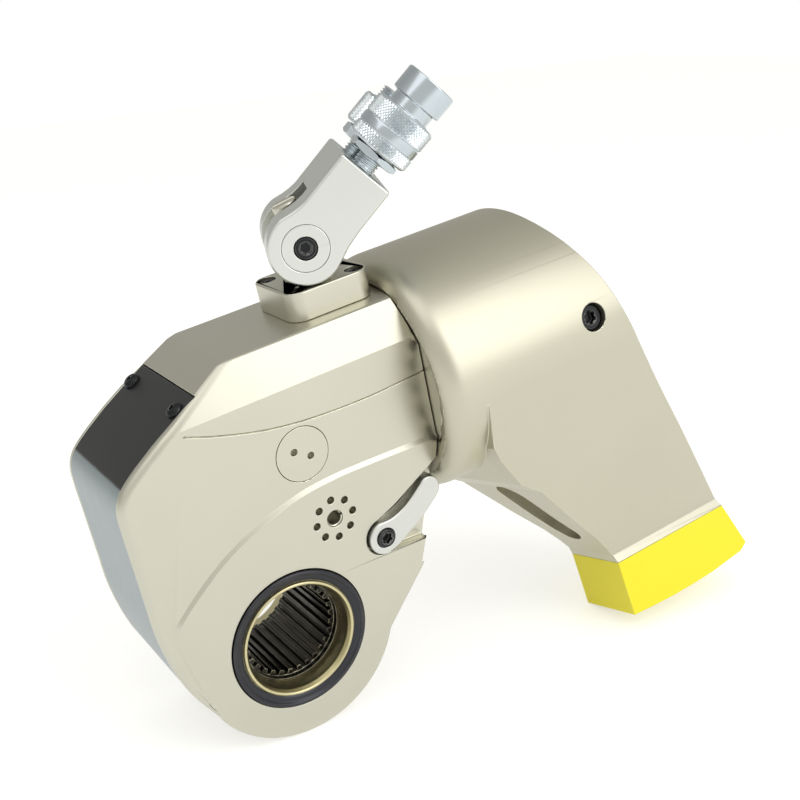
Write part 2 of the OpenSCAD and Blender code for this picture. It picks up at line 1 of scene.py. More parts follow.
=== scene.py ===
"""Looks of the hydraulic torque wrench: every piece is an operator, every finish a node material."""

import json
import math

import bmesh
import bpy
from mathutils import Matrix, Vector

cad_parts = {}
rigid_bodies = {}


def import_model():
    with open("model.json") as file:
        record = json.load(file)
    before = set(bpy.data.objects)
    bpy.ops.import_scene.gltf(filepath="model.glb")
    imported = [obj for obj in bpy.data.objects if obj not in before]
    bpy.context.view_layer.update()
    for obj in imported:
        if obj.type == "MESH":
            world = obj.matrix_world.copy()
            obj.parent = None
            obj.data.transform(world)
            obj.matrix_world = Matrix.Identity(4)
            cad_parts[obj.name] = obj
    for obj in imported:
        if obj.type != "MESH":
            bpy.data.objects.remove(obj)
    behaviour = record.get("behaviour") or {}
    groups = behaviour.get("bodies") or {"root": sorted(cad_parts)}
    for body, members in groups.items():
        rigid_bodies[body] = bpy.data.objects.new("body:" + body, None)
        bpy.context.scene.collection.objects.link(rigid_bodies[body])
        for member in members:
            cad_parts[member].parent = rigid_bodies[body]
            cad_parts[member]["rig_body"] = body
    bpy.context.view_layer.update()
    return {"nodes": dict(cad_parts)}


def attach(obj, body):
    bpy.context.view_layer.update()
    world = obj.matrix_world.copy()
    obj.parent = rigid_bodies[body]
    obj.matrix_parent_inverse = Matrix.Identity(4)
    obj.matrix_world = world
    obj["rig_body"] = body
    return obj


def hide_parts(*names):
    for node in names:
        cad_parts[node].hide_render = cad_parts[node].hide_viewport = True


bl_info = {
    "name": "Hydraulic Torque Wrench",
    "version": (1, 0, 0),
    "blender": (4, 5, 0),
    "location": "3D View > Sidebar > Wrench",
    "description": "Models and finishes the pieces of a hydraulic torque wrench round its packed frame",
    "category": "Object",
}

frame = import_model()
MM = 0.001

# Places of the main axes and faces, in millimetres, as in the part's source.
CYLINDER_Z = 89.5
BODY_HALF = 36.0
UPPER_HALF = 34.8
TOP_HALF = 29.0
SHOULDER_Z = 118.3
TOP_Z = 138.0
REAR_X = 92.0
PLATE_HALF = 30.0
PLATE_Z = 102.3
SWIVEL_X = 62.5
PIN_Z = 169.3
FOOT_Z = -46.5
FOOT_HALF = 20.5

# Places in X and Z of what lies along the drive axis.
LEVER = (53.0, 30.0)
HANDLE = (31.0, 50.0)
PLUG = (23.6, 86.2)
ARM_BOLT = (175.0, 86.5)

# The base's screws lie this far from the swivel's axis in X and Y, the couplers from the pin in Y and Z.
BASE_SCREWS = (15.5, 14.0)
COUPLERS = (14.5, 2.0)

# The cylinder's bore, a little wider than in the solids so that the piston clears its facets.
BORE_R = 30.2
ARM_SPLINES = 24

# Cutters reach this far, past the sides of the body.
PAST = 60

# Faces over this many square millimetres that meet at more than this many degrees keep a crisp edge.
BROAD_FACE = 8
CRISP_TURN = 12

# Local Z runs along the drive axis towards the near side, or along the cylinder.
DRIVE = Matrix.Rotation(math.pi / 2, 4, "X")
CYLINDER = Matrix(((0, 0, 1, 0), (1, 0, 0, 0), (0, 1, 0, CYLINDER_Z), (0, 0, 0, 1)))
LENGTHWISE = Matrix(((0, 0, 1, 0), (1, 0, 0, 0), (0, 1, 0, 0), (0, 0, 0, 1)))
SWIVEL = Matrix.Translation((SWIVEL_X, 0, 0)) @ Matrix.Rotation(math.radians(-22), 4, "Z")
FORK = (Matrix.Translation((SWIVEL_X, 0, PIN_Z)) @ Matrix.Rotation(math.radians(-22), 4, "Z")
        @ Matrix.Rotation(math.radians(-38), 4, "Y"))
ARM = (Matrix.Translation((0, 0, CYLINDER_Z)) @ Matrix.Rotation(math.radians(-15), 4, "X")
       @ Matrix.Translation((0, 0, -CYLINDER_Z)))


def crosswise(spot):
    """Place of a bore or a screw along the drive axis, at a spot in X and Z."""
    return Matrix.Translation((spot[0], 0, spot[1])) @ DRIVE


def port_place(side):
    """Place of a coupler's port in the fork block: local Z runs out of the block."""
    out, up = COUPLERS
    return Matrix.Translation((0, out * side, up)) @ Matrix.Rotation(math.pi / 2, 4, "Y")


def srgb(text):
    """A hex colour as linear red, green, blue and alpha."""
    parts = [int(text[i:i + 2], 16) / 255 for i in (0, 2, 4)]
    return tuple(c / 12.92 if c <= 0.04045 else ((c + 0.055) / 1.055) ** 2.4 for c in parts) + (1.0,)


def arc(x, y, radius, start, end, steps):
    """Points of an arc, angles in degrees."""
    turns = [math.radians(start + (end - start) * i / steps) for i in range(steps + 1)]
    return [(x + radius * math.cos(t), y + radius * math.sin(t)) for t in turns]


def flow(points, steps=4):
    """A smooth line through the points."""
    ends = [points[0], *points, points[-1]]
    line = []
    for a, b, c, d in zip(ends, ends[1:], ends[2:], ends[3:]):
        for i in range(steps):
            t = i / steps
            line.append(tuple(0.5 * (2 * q + (r - p) * t + (2 * p - 5 * q + 4 * r - s) * t * t
                                     + (3 * q - p - 3 * r + s) * t ** 3) for p, q, r, s in zip(a, b, c, d)))
    return line + [points[-1]]


def toothed(count, root, tip, root_half, tip_half):
    """Outline of a toothed wheel, half widths of a tooth in degrees."""
    line = []
    for i in range(count):
        for radius, turn in ((root, -root_half), (tip, -tip_half), (tip, tip_half), (root, root_half)):
            angle = math.radians(360 * i / count + turn)
            line.append((radius * math.cos(angle), radius * math.sin(angle)))
    return line


def moved(bm, place):
    """The mesh taken to its place."""
    bmesh.ops.transform(bm, matrix=place, verts=bm.verts)
    return bm


def raised_points(grown):
    """The points among what an extrusion made."""
    return [v for v in grown["geom"] if isinstance(v, bmesh.types.BMVert)]


def turned(profile, place=Matrix(), steps=96):
    """A part turned on a lathe: a closed line of (radius, height) points spun about local Z."""
    bm = bmesh.new()
    line = [bm.verts.new((radius, 0, height)) for radius, height in profile]
    for pair in zip(line, line[1:] + line[:1]):
        bm.edges.new(pair)
    bmesh.ops.spin(bm, geom=bm.verts[:] + bm.edges[:], cent=(0, 0, 0), axis=(0, 0, 1),
                   angle=2 * math.pi, steps=steps, use_merge=True)
    bmesh.ops.remove_doubles(bm, verts=bm.verts, dist=1e-4)
    bmesh.ops.dissolve_degenerate(bm, dist=1e-5, edges=bm.edges)
    bmesh.ops.delete(bm, geom=[e for e in bm.edges if not e.link_faces], context="EDGES")
    bmesh.ops.recalc_face_normals(bm, faces=bm.faces)
    return moved(bm, place)


def slab(outline, low, high, place=Matrix()):
    """A plate: an outline in local XY grown along local Z."""
    bm = bmesh.new()
    face = bm.faces.new([bm.verts.new((x, y, low)) for x, y in outline])
    grown = bmesh.ops.extrude_face_region(bm, geom=[face])
    bmesh.ops.translate(bm, vec=(0, 0, high - low), verts=raised_points(grown))
    bmesh.ops.recalc_face_normals(bm, faces=bm.faces)
    return moved(bm, place)


def drum(radius, low, high, place=Matrix(), steps=64):
    """A plain round bar, mostly used as a cutter."""
    bm = bmesh.new()
    bmesh.ops.create_cone(bm, cap_ends=True, segments=steps, radius1=radius, radius2=radius,
                          depth=high - low)
    bmesh.ops.translate(bm, vec=(0, 0, (low + high) / 2), verts=bm.verts)
    return moved(bm, place)


def thread(root, crest, low, high, pitch, place=Matrix(), steps=32):
    """A real helical thread: one notch wound up along local Z."""
    bm = bmesh.new()
    line = [bm.verts.new((root, 0, low)), bm.verts.new((crest, 0, low + 0.42 * pitch)),
            bm.verts.new((crest, 0, low + 0.58 * pitch)), bm.verts.new((root, 0, low + pitch))]
    for pair in zip(line, line[1:]):
        bm.edges.new(pair)
    turns = int((high - low) / pitch) - 1
    bmesh.ops.spin(bm, geom=bm.verts[:] + bm.edges[:], cent=(0, 0, 0), axis=(0, 0, 1),
                   angle=2 * math.pi * turns, steps=steps * turns, dvec=(0, 0, pitch / steps))
    bmesh.ops.remove_doubles(bm, verts=bm.verts, dist=1e-3)
    bmesh.ops.recalc_face_normals(bm, faces=bm.faces)
    return moved(bm, place)


def knurled(radius, low, high, count, height, place=Matrix()):
    """A diamond-knurled band: a round grid is turned to diamonds, and each is raised to a point."""
    bm = bmesh.new()
    rows = max(2, round((high - low) / (2 * math.pi * radius / count)))
    ends = [bm.verts.new((radius, 0, low + (high - low) * i / rows)) for i in range(rows + 1)]
    for pair in zip(ends, ends[1:]):
        bm.edges.new(pair)
    bmesh.ops.spin(bm, geom=bm.verts[:] + bm.edges[:], cent=(0, 0, 0), axis=(0, 0, 1),
                   angle=2 * math.pi, steps=count, use_merge=True)
    bmesh.ops.remove_doubles(bm, verts=bm.verts, dist=1e-4)
    bmesh.ops.recalc_face_normals(bm, faces=bm.faces)
    square = [e for e in bm.edges if not e.is_boundary]
    bmesh.ops.poke(bm, faces=bm.faces[:])
    bmesh.ops.dissolve_edges(bm, edges=square, use_verts=False)
    diamonds = [f for f in bm.faces if len(f.verts) == 4]
    bmesh.ops.poke(bm, faces=diamonds, offset=height)
    return moved(bm, place)


def trimmed(bm, point, away):
    """Cuts off what lies beyond a plane, and closes the cut."""
    cut = bmesh.ops.bisect_plane(bm, geom=bm.verts[:] + bm.edges[:] + bm.faces[:], plane_co=point,
                                 plane_no=away, clear_outer=True)["geom_cut"]
    rim = [e for e in cut if isinstance(e, bmesh.types.BMEdge) and e.is_boundary]
    bmesh.ops.edgenet_fill(bm, edges=rim)
    bmesh.ops.recalc_face_normals(bm, faces=bm.faces)


def loose_object(bm):
    """A mesh as a helper object, for the Boolean and Bevel modifiers."""
    mesh = bpy.data.meshes.new("helper")
    bm.to_mesh(mesh)
    bm.free()
    helper = bpy.data.objects.new("helper", mesh)
    bpy.context.scene.collection.objects.link(helper)
    return helper


def take_back(helpers):
    """The first helper's finished mesh as a bmesh; all the helpers are removed."""
    bpy.context.view_layer.update()
    bm = bmesh.new()
    bm.from_object(helpers[0], bpy.context.evaluated_depsgraph_get())
    for helper in helpers:
        mesh = helper.data
        bpy.data.objects.remove(helper)
        bpy.data.meshes.remove(mesh)
    if not bm.faces:
        raise RuntimeError("a cut left nothing of the piece")
    return bm


def carved(bm, tools, operation="DIFFERENCE"):
    """The mesh after exact Booleans with the tools, one after another."""
    helpers = [loose_object(bm)]
    for tool in tools:
        helpers.append(loose_object(tool))
        cut = helpers[0].modifiers.new("carve", "BOOLEAN")
        cut.operation = operation
        cut.solver = "EXACT"
        cut.object = helpers[-1]
    return take_back(helpers)


def eased(bm, width, segments, limit=None):
    """The mesh with its edges rounded: by edge weight, or where they are sharper than limit degrees."""
    helper = loose_object(bm)
    ease = helper.modifiers.new("ease", "BEVEL")
    ease.width = width
    ease.segments = segments
    ease.use_clamp_overlap = False
    ease.limit_method = "WEIGHT"
    if limit:
        ease.limit_method = "ANGLE"
        ease.angle_limit = math.radians(limit)
    return take_back([helper])


def together(*parts):
    """Several meshes as one."""
    whole = bmesh.new()
    for part in parts:
        mesh = bpy.data.meshes.new("part")
        part.to_mesh(mesh)
        part.free()
        whole.from_mesh(mesh)
        bpy.data.meshes.remove(mesh)
    return whole


def piece(bm, name, look, stands_for, edge=0.0, limit=40, hard=False):
    """Makes the finished object of a mesh, which takes its CAD nodes' place and rides on their body.

    edge is the rounding of edges over limit degrees; hard lets the rounding itself keep flat faces flat.
    """
    for side in bm.faces:
        side.smooth = True
    for line in bm.edges:
        if len(line.link_faces) == 2:
            turn = math.degrees(line.calc_face_angle())
            broad = min(f.calc_area() for f in line.link_faces) > BROAD_FACE
            line.smooth = turn < limit and not (broad and turn > CRISP_TURN)
    bmesh.ops.scale(bm, vec=(MM, MM, MM), verts=bm.verts)
    mesh = bpy.data.meshes.new(name)
    bm.to_mesh(mesh)
    bm.free()
    slot, material = look
    mesh.materials.append(material)
    made = bpy.data.objects.new(name, mesh)
    bpy.context.scene.collection.objects.link(made)
    if edge:
        ease = made.modifiers.new("Eased edges", "BEVEL")
        ease.width = edge * MM
        ease.harden_normals = hard
        ease.segments = 2
        ease.limit_method = "ANGLE"
        ease.angle_limit = math.radians(limit)
        ease.use_clamp_overlap = False
        ease.miter_outer = "MITER_ARC"
    if not hard:
        made.modifiers.new("Flat faces shade flat", "WEIGHTED_NORMAL").keep_sharp = True
    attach(made, frame["nodes"][stands_for[0]]["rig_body"])
    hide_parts(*stands_for)
    return made


def node(tree, kind, values=None, links=None, **settings):
    """Adds a node: its settings, the values of its free sockets, and the links into the others."""
    made = tree.nodes.new(kind)
    for name, value in settings.items():
        setattr(made, name, value)
    for socket, value in (values or {}).items():
        made.inputs[socket].default_value = value
    for socket, source in (links or {}).items():
        tree.links.new(source, made.inputs[socket])
    return made


def surface(name, light, dark, metallic, rough, cloud, grain, bump, stretch=(1, 1, 1), coat=0.0, worn=None):
    """A finish: two close tones in soft clouds, a fine grain that breaks up the gloss, and lighter edges,
    partly wear and partly painted highlight.

    cloud and grain are sizes, bump the grain's height, all in millimetres; the last argument is the edges'
    colour, partly wear and partly painted highlight.
    """
    material = bpy.data.materials.new(name)
    material.use_nodes = True
    tree = material.node_tree
    tree.nodes.clear()
    place = node(tree, "ShaderNodeTexCoord")
    laid = node(tree, "ShaderNodeMapping", {"Scale": stretch}, {"Vector": place.outputs["Object"]})
    clouds = node(tree, "ShaderNodeTexNoise", {"Scale": 1 / (cloud * MM), "Detail": 3.0, "Roughness": 0.55},
                  {"Vector": place.outputs["Object"]})
    grit = node(tree, "ShaderNodeTexNoise", {"Scale": 1 / (grain * MM), "Detail": 2.0, "Roughness": 0.6},
                {"Vector": laid.outputs["Vector"]})
    tone = node(tree, "ShaderNodeMix", {6: dark, 7: light}, {0: clouds.outputs["Fac"]}, data_type="RGBA")
    gloss = node(tree, "ShaderNodeMapRange", {"To Min": rough - 0.05, "To Max": rough + 0.05},
                 {"Value": grit.outputs["Fac"]})
    relief = node(tree, "ShaderNodeBump", {"Strength": 0.6, "Distance": bump * MM},
                  {"Height": grit.outputs["Fac"]})
    colour, roughness = tone.outputs[2], gloss.outputs["Result"]
    if worn:
        # An edge is where the rounded normal leaves the true one; a patchy noise breaks the lightening up.
        # The lighter edges are partly wear, partly painted highlight.
        rounded = node(tree, "ShaderNodeBevel", {"Radius": 0.7 * MM}, samples=4)
        true = node(tree, "ShaderNodeNewGeometry")
        meet = node(tree, "ShaderNodeVectorMath", None,
                    {0: rounded.outputs["Normal"], 1: true.outputs["Normal"]}, operation="DOT_PRODUCT")
        edge = node(tree, "ShaderNodeMapRange", {"From Min": 0.995, "From Max": 0.9},
                    {"Value": meet.outputs["Value"]})
        patch = node(tree, "ShaderNodeTexNoise", {"Scale": 1 / (7 * MM), "Detail": 4.0},
                     {"Vector": place.outputs["Object"]})
        share = node(tree, "ShaderNodeMapRange",
                     {"From Min": 0.35, "From Max": 0.65, "To Min": 0.15, "To Max": 0.9},
                     {"Value": patch.outputs["Fac"]})
        edge_wear_and_highlight = node(tree, "ShaderNodeMath", None, {0: edge.outputs["Result"], 1: share.outputs["Result"]},
                      operation="MULTIPLY")
        bright = node(tree, "ShaderNodeMix", {7: worn}, {0: edge_wear_and_highlight.outputs["Value"], 6: colour},
                      data_type="RGBA")
        smooth = node(tree, "ShaderNodeMath", {1: -0.1}, {0: edge_wear_and_highlight.outputs["Value"], 2: roughness},
                      operation="MULTIPLY_ADD")
        colour, roughness = bright.outputs[2], smooth.outputs["Value"]
    shader = node(tree, "ShaderNodeBsdfPrincipled", {"Metallic": metallic, "Coat Weight": coat},
                  {"Base Color": colour, "Roughness": roughness, "Normal": relief.outputs["Normal"]})
    node(tree, "ShaderNodeOutputMaterial", None, {"Surface": shader.outputs["BSDF"]})
    return material


FINISHES = {}


def finishes():
    """The record's slots with their materials, made once."""
    if FINISHES:
        return FINISHES
    colours = bpy.context.scene.wrench_colours

    def add(slot, material, colour, spread, *values, **more):
        light = tuple(getattr(colours, colour)) + (1.0,)
        dark = tuple(c * (1 - spread) for c in light[:3]) + (1.0,)
        FINISHES[slot] = surface(material, light, dark, *values, **more)

    # The edge colours below are partly wear and partly painted highlight, where edges catch the light.
    pale = srgb("ecead9")
    bare = srgb("a8a9a6")
    # Slot, material, colour, spread of its tones, metallic, roughness, cloud, grain and bump.
    # Nickel plate on fine-blasted alloy: a warm satin with soft gradients and no mirror image.
    add("satin_nickel", "blasted_nickel_plate", "body", 0.06, 1.0, 0.36, 40, 0.45, 0.010, worn=pale)
    # The same plate on the forged arm: greyer, a little coarser.
    add("arm_nickel", "nickel_plated_forging", "arm", 0.08, 1.0, 0.38, 55, 0.5, 0.014, worn=pale)
    # Satin chrome on the hose block: lighter and neutral.
    add("fork_silver", "satin_chrome", "block", 0.04, 1.0, 0.36, 30, 0.4, 0.01, worn=srgb("f4f4f2"))
    # Bright zinc plate, cold and glossy.
    add("zinc", "bright_zinc_plate", "zinc", 0.12, 1.0, 0.18, 6, 0.3, 0.004, worn=srgb("eef2f4"))
    # Bead-blasted steel of the lever.
    add("lever_steel", "bead_blasted_steel", "lever", 0.08, 1.0, 0.34, 18, 0.35, 0.008, worn=srgb("efefec"))
    # Chemically blackened steel: nearly black, with a dull bluish gloss and edges rubbed to bare steel.
    add("black_oxide", "black_oxide_steel", "oxide", 0.3, 0.6, 0.34, 5, 0.4, 0.006, worn=bare)
    # The same on the rings, thinner and more metallic.
    add("ring_steel", "blackened_ring_steel", "ring", 0.2, 0.8, 0.32, 12, 0.4, 0.005, worn=bare)
    # Anodised sheet with a very fine tooth: dyed black above; below, a light grey that is painted reflection
    # of the pale floor in the black sheet.
    add("black_sheet", "black_anodised_sheet", "plate_black", 0.2, 0.3, 0.38, 30, 0.4, 0.006,
        worn=srgb("6d6c68"))
    add("grey_sheet", "clear_anodised_sheet", "plate_grey_painted_reflection", 0.14, 0.7, 0.36, 9, 0.4, 0.006,
        worn=srgb("c9d0d1"))
    # Bearing bronze, mottled brown where it is oiled.
    add("bronze", "bearing_bronze", "bronze", 0.2, 1.0, 0.34, 10, 0.5, 0.01, worn=srgb("ddd4ab"))
    # Hardened gear steel, very dark, with lighter tooth ends that are partly ground bright and partly painted
    # highlight.
    add("hard_steel", "hardened_gear_steel", "gear", 0.3, 1.0, 0.3, 8, 0.5, 0.01, worn=srgb("cfc7ae"))
    # Ground steel of the pins and plates, with fine marks along one way.
    add("ground_steel", "ground_steel", "ground", 0.08, 1.0, 0.26, 14, 0.3, 0.004, (1, 1, 8))
    # Hard chrome of the rod, polished.
    add("rod_chrome", "hard_chrome", "chrome", 0.04, 1.0, 0.1, 20, 0.3, 0.001)
    # Nitrile rubber of the seals.
    add("seal_rubber", "nitrile_rubber", "rubber", 0.2, 0.0, 0.6, 6, 0.4, 0.01)
    # Thick yellow enamel on the foot, a little paler where it is rubbed.
    add("yellow_foot", "yellow_enamel", "foot", 0.03, 0.0, 0.42, 25, 1.6, 0.02, coat=0.15,
        worn=srgb("fff67a"))
    return FINISHES


def finish(slot):
    """A slot's name with its material."""
    return slot, finishes()[slot]


def tint(text, label):
    """A colour property."""
    return bpy.props.FloatVectorProperty(name=label, description=f"Colour of the {label.lower()}",
                                         subtype="COLOR", size=3, min=0.0, max=1.0, default=srgb(text)[:3])


class WrenchColours(bpy.types.PropertyGroup):
    """Colours of the finishes."""

    body: tint("c7c5b7", "Body plate")
    arm: tint("c2bfae", "Arm plate")
    block: tint("d3d5d1", "Hose block")
    zinc: tint("c3ccd2", "Coupler zinc")
    lever: tint("d0d1cd", "Lever steel")
    oxide: tint("1e2023", "Black screws")
    ring: tint("3c3d42", "Retaining rings")
    plate_black: tint("232425", "Upper front plate")
    # The lower plate's grey is painted reflection of the pale floor in the black sheet.
    plate_grey_painted_reflection: tint("99a4a7", "Lower front plate")
    bronze: tint("d2c9a0", "Bush bronze")
    gear: tint("3d3c38", "Ratchet steel")
    ground: tint("9fa19e", "Pins and plates")
    chrome: tint("d4d7d9", "Rod chrome")
    rubber: tint("1d1d1d", "Seals")
    foot: tint("fdf01a", "Foot enamel")


def length(value, label, about):
    """A length property in metres, given in millimetres."""
    return bpy.props.FloatProperty(name=label, description=about, default=value * MM, min=0.0,
                                   unit="LENGTH", precision=4)


def number(value, label, about):
    """A property that counts something."""
    return bpy.props.IntProperty(name=label, description=about, default=value)


class WrenchSizes(bpy.types.PropertyGroup):
    """Sizes that only the looks have."""

    rail_round: length(4.0, "Rail rounding", "Rounding of the body's front edges")
    nose_round: length(1.3, "Nose rounding", "Rounding of the nose's edges")
    edge_round: length(0.5, "Edge rounding", "Small rounding of machined edges")
    block_round: length(1.5, "Block rounding", "Rounding of the hose block's edges")
    knurl_near: number(54, "Near knurl", "Diamonds round the nearer sleeve")
    knurl_far: number(48, "Far knurl", "Diamonds round the farther sleeve")
    floor_size: length(6000, "Floor", "Side of the studio floor")


def shifted(line, distances):
    """An open line with each point moved to the right of its run by its own distance."""
    moved = []
    ends = [line[0], *line, line[-1]]
    for before, here, after, distance in zip(ends, line, ends[2:], distances):
        run = Vector((after[0] - before[0], after[1] - before[1])).normalized()
        moved.append((here[0] + run.y * distance, here[1] - run.x * distance))
    return moved


# Outlines of the housing in X and Z. The proud lower body starts at the crease, and its front edge at the
# front step runs out into the nose. The upper body's nose lies a little inside the lower body's.
NOSE = arc(0, 0, 50, -155, -22.2, 44)
INNER_NOSE = arc(0, 0, 49.9, -22.2, -157, 44)
REAR_EDGE = [(70.4, 5), (72.3, 7.4), (73.7, 10.2), (74.6, 13.4), (77.5, 23), (86.5, 46), (90.5, 56),
             (91.7, 61), (98, 61)]
FRONT = flow([(-46.3, -18.9), (-53, -6), (-57.4, 6), (-60.3, 20), (-61.8, 34), (-61.8, 48), (-61.8, 61),
              (-61.8, 75), (-61.8, 88), (-61.1, 95), (-58.6, 100.4), (-54.6, 104.6), (-48, 109.6),
              (-38, 116.2)], 3)
FRONT += [(-2.4, 136.9), (2, TOP_Z)]
CREASE = flow([(98, 65.8), (84, 66.5), (72, 67.2), (50, 68.3), (34, 68.6), (18, 67.4), (2, 63.6),
               (-15, 57.6), (-30, 49.6), (-45, 38.9), (-54.4, 30.6)], 3)
FRONT_STEP = [(-54.2, 27.4), (-53, 18), (-51.2, 6), (-48.6, -5), (-46.8, -13)]

# Run of the slanted step along the crease, and at each point of the front step.
CREASE_RUN = 4.6
FRONT_RUN = [3.6, 3.2, 3.0, 2.2, 1.2]

# The part of the front line that the plates cover.
PLATED = [p for p in FRONT if p[1] > -5 and p[0] < -17]

# The parting line on the body's sides.
SEAM = flow([(98, 100.8), (76, 99.6), (58, 99.2), (36, 100.2), (20, 102), (5, 105), (-12.7, 110.3),
             (-26, 115.4)])


class WRENCH_OT_housing(bpy.types.Operator):
    """Models the housing: upper body with shoulders and front channel, proud lower body, holes and bores"""

    bl_idname = "wrench.housing"
    bl_label = "Housing"

    def execute(self, context):
        sizes = context.scene.wrench_sizes
        body = carved(self.upper(sizes), [self.lower(sizes)], "UNION")
        body = carved(body, self.cutters())
        boss = slab(toothed(ARM_SPLINES, 44, 47, 5.1, 3.2), 95, 160, CYLINDER)
        boss = carved(boss, [drum(33, 140, 165, CYLINDER, 96), drum(BORE_R, 60, 150, CYLINDER, 128)])
        seat = drum(43.9, REAR_X + 0.3, 94.98, CYLINDER, 96)
        seat = carved(seat, [drum(BORE_R, 60, 150, CYLINDER, 128)])
        threads = []
        for near in (1, -1):
            hole = Matrix.Translation((HANDLE[0], 0, HANDLE[1])) @ Matrix.Rotation(math.pi / 2 * near, 4, "X")
            threads.append(thread(4.0, 3.3, 25.2, 35.9, 1.25, hole))
        piece(together(body, boss, seat, *threads), "housing", finish("satin_nickel"), ["main_housing"],
              sizes.edge_round / MM, hard=True)
        return {"FINISHED"}

    def upper(self, sizes):
        """The upper body: straight shoulders, front edges rounded, and the channel for the plates."""
        line = [(x - 0.1, z) for x, z in REAR_EDGE[:-1]] + [(97, 60.9), (97, TOP_Z)]
        bm = slab(line + FRONT[::-1] + INNER_NOSE[::-1], -UPPER_HALF, UPPER_HALF, DRIVE)
        lean = Vector((0, TOP_Z - SHOULDER_Z, UPPER_HALF - TOP_HALF))
        for side in (-1, 1):
            trimmed(bm, (0, side * UPPER_HALF, SHOULDER_Z), Vector((0, side * lean.y, lean.z)))
        layer = bm.edges.layers.float.new("bevel_weight_edge")
        for edge in bm.edges:
            flanks = [f for f in edge.link_faces if abs(f.normal.y) > 0.9]
            middle = (edge.verts[0].co + edge.verts[1].co) / 2
            if len(flanks) != 1:
                continue
            if middle.z > TOP_Z - 0.2:
                edge[layer] = 0.2
            elif middle.z > TOP_Z - 1.2:
                edge[layer] = 0.5
            elif middle.x < 4:
                edge[layer] = min(1.0, 0.6 + 0.4 * max(0.0, middle.z) / 70)
        bm = eased(bm, sizes.rail_round / MM, 6)
        groove = [(-53.4, -6.5)] + PLATED + [(-15.6, 129.25)]
        groove = [(x - 14, z + 11) for x, z in groove] + [(x + 2.7, z - 2.2) for x, z in reversed(groove)]
        return carved(bm, [slab(groove, -PLATE_HALF - 0.2, PLATE_HALF + 0.2, DRIVE)])

    def lower(self, sizes):
        """The lower body with the nose: it stands proud at the crease, with a slanted step."""
        soft = CREASE + FRONT_STEP
        deep = shifted(soft, [CREASE_RUN] * len(CREASE) + FRONT_RUN)
        bm = slab(deep + NOSE + REAR_EDGE, -33.2, 33.2, DRIVE)
        raised = {(round(a, 3), round(b, 3)): c for (a, b), c in zip(deep, soft)}
        for cap in [f for f in bm.faces if abs(f.normal.y) > 0.99]:
            side = 1 if cap.normal.y > 0 else -1
            grown = bmesh.ops.extrude_face_region(bm, geom=[cap])
            for vert in raised_points(grown):
                x, z = raised.get((round(vert.co.x, 3), round(vert.co.z, 3)), (vert.co.x, vert.co.z))
                vert.co = (x, side * BODY_HALF, z)
            bmesh.ops.delete(bm, geom=[cap], context="FACES_ONLY")
        bmesh.ops.recalc_face_normals(bm, faces=bm.faces)
        layer = bm.edges.layers.float.new("bevel_weight_edge")
        for edge in bm.edges:
            if edge.calc_face_angle() > math.radians(80) and abs(edge.verts[0].co.y) > BODY_HALF - 0.1:
                edge[layer] = 1.0
        return eased(bm, sizes.nose_round / MM, 4)

    def cutters(self):
        """Cone towards the collar, cavity, bores, lever recess, plug seat, handle holes and parting line."""
        cavity = [(-46, 4), (-50, 30), (-50, 90), (-44, 104), (-30, 108), (66, 108), (68, 30), (54.5, 13),
                  (43, 4)]
        recess = arc(LEVER[0], LEVER[1], 9.3, 98, 258, 20) + [(112, 16.1), (112, 68), (62, 43)]
        cone = turned([(0, REAR_X), (42, REAR_X), (90, REAR_X - 48 * 0.46), (90, 200), (0, 200)], CYLINDER,
                      160)
        tools = [cone, drum(42.5, -24, 24, DRIVE, 96), slab(cavity, -23.97, 23.97, DRIVE),
                 drum(29.5, -PAST, PAST, DRIVE, 96), drum(34.35, 32, PAST, DRIVE, 128),
                 drum(34.35, -PAST, -32, DRIVE, 128), drum(BORE_R + 0.5, 60, 120, CYLINDER, 128),
                 slab(recess, BODY_HALF - 5.5, PAST, DRIVE)]
        plug = crosswise(PLUG)
        tools += [drum(12.95, 25, PAST, plug, 80), drum(10, 0, PAST, plug)]
        handle = crosswise(HANDLE)
        pegs = [drum(4, 25, PAST, handle), drum(4, -PAST, -25, handle)]
        for spot in arc(HANDLE[0], HANDLE[1], 9.5, 0, 315, 7):
            hole = crosswise(spot)
            pegs += [drum(1.7, 29, PAST, hole, 24), drum(1.7, -PAST, -29, hole, 24)]
        seam = [(x, z + 0.12) for x, z in SEAM] + [(x, z - 0.12) for x, z in reversed(SEAM)]
        seams = [slab(seam, UPPER_HALF - 0.2, PAST, DRIVE), slab(seam, -PAST, 0.2 - UPPER_HALF, DRIVE)]
        return tools + [together(*pegs), drum(6.05, -26.5, PAST, crosswise(LEVER)), together(*seams)]


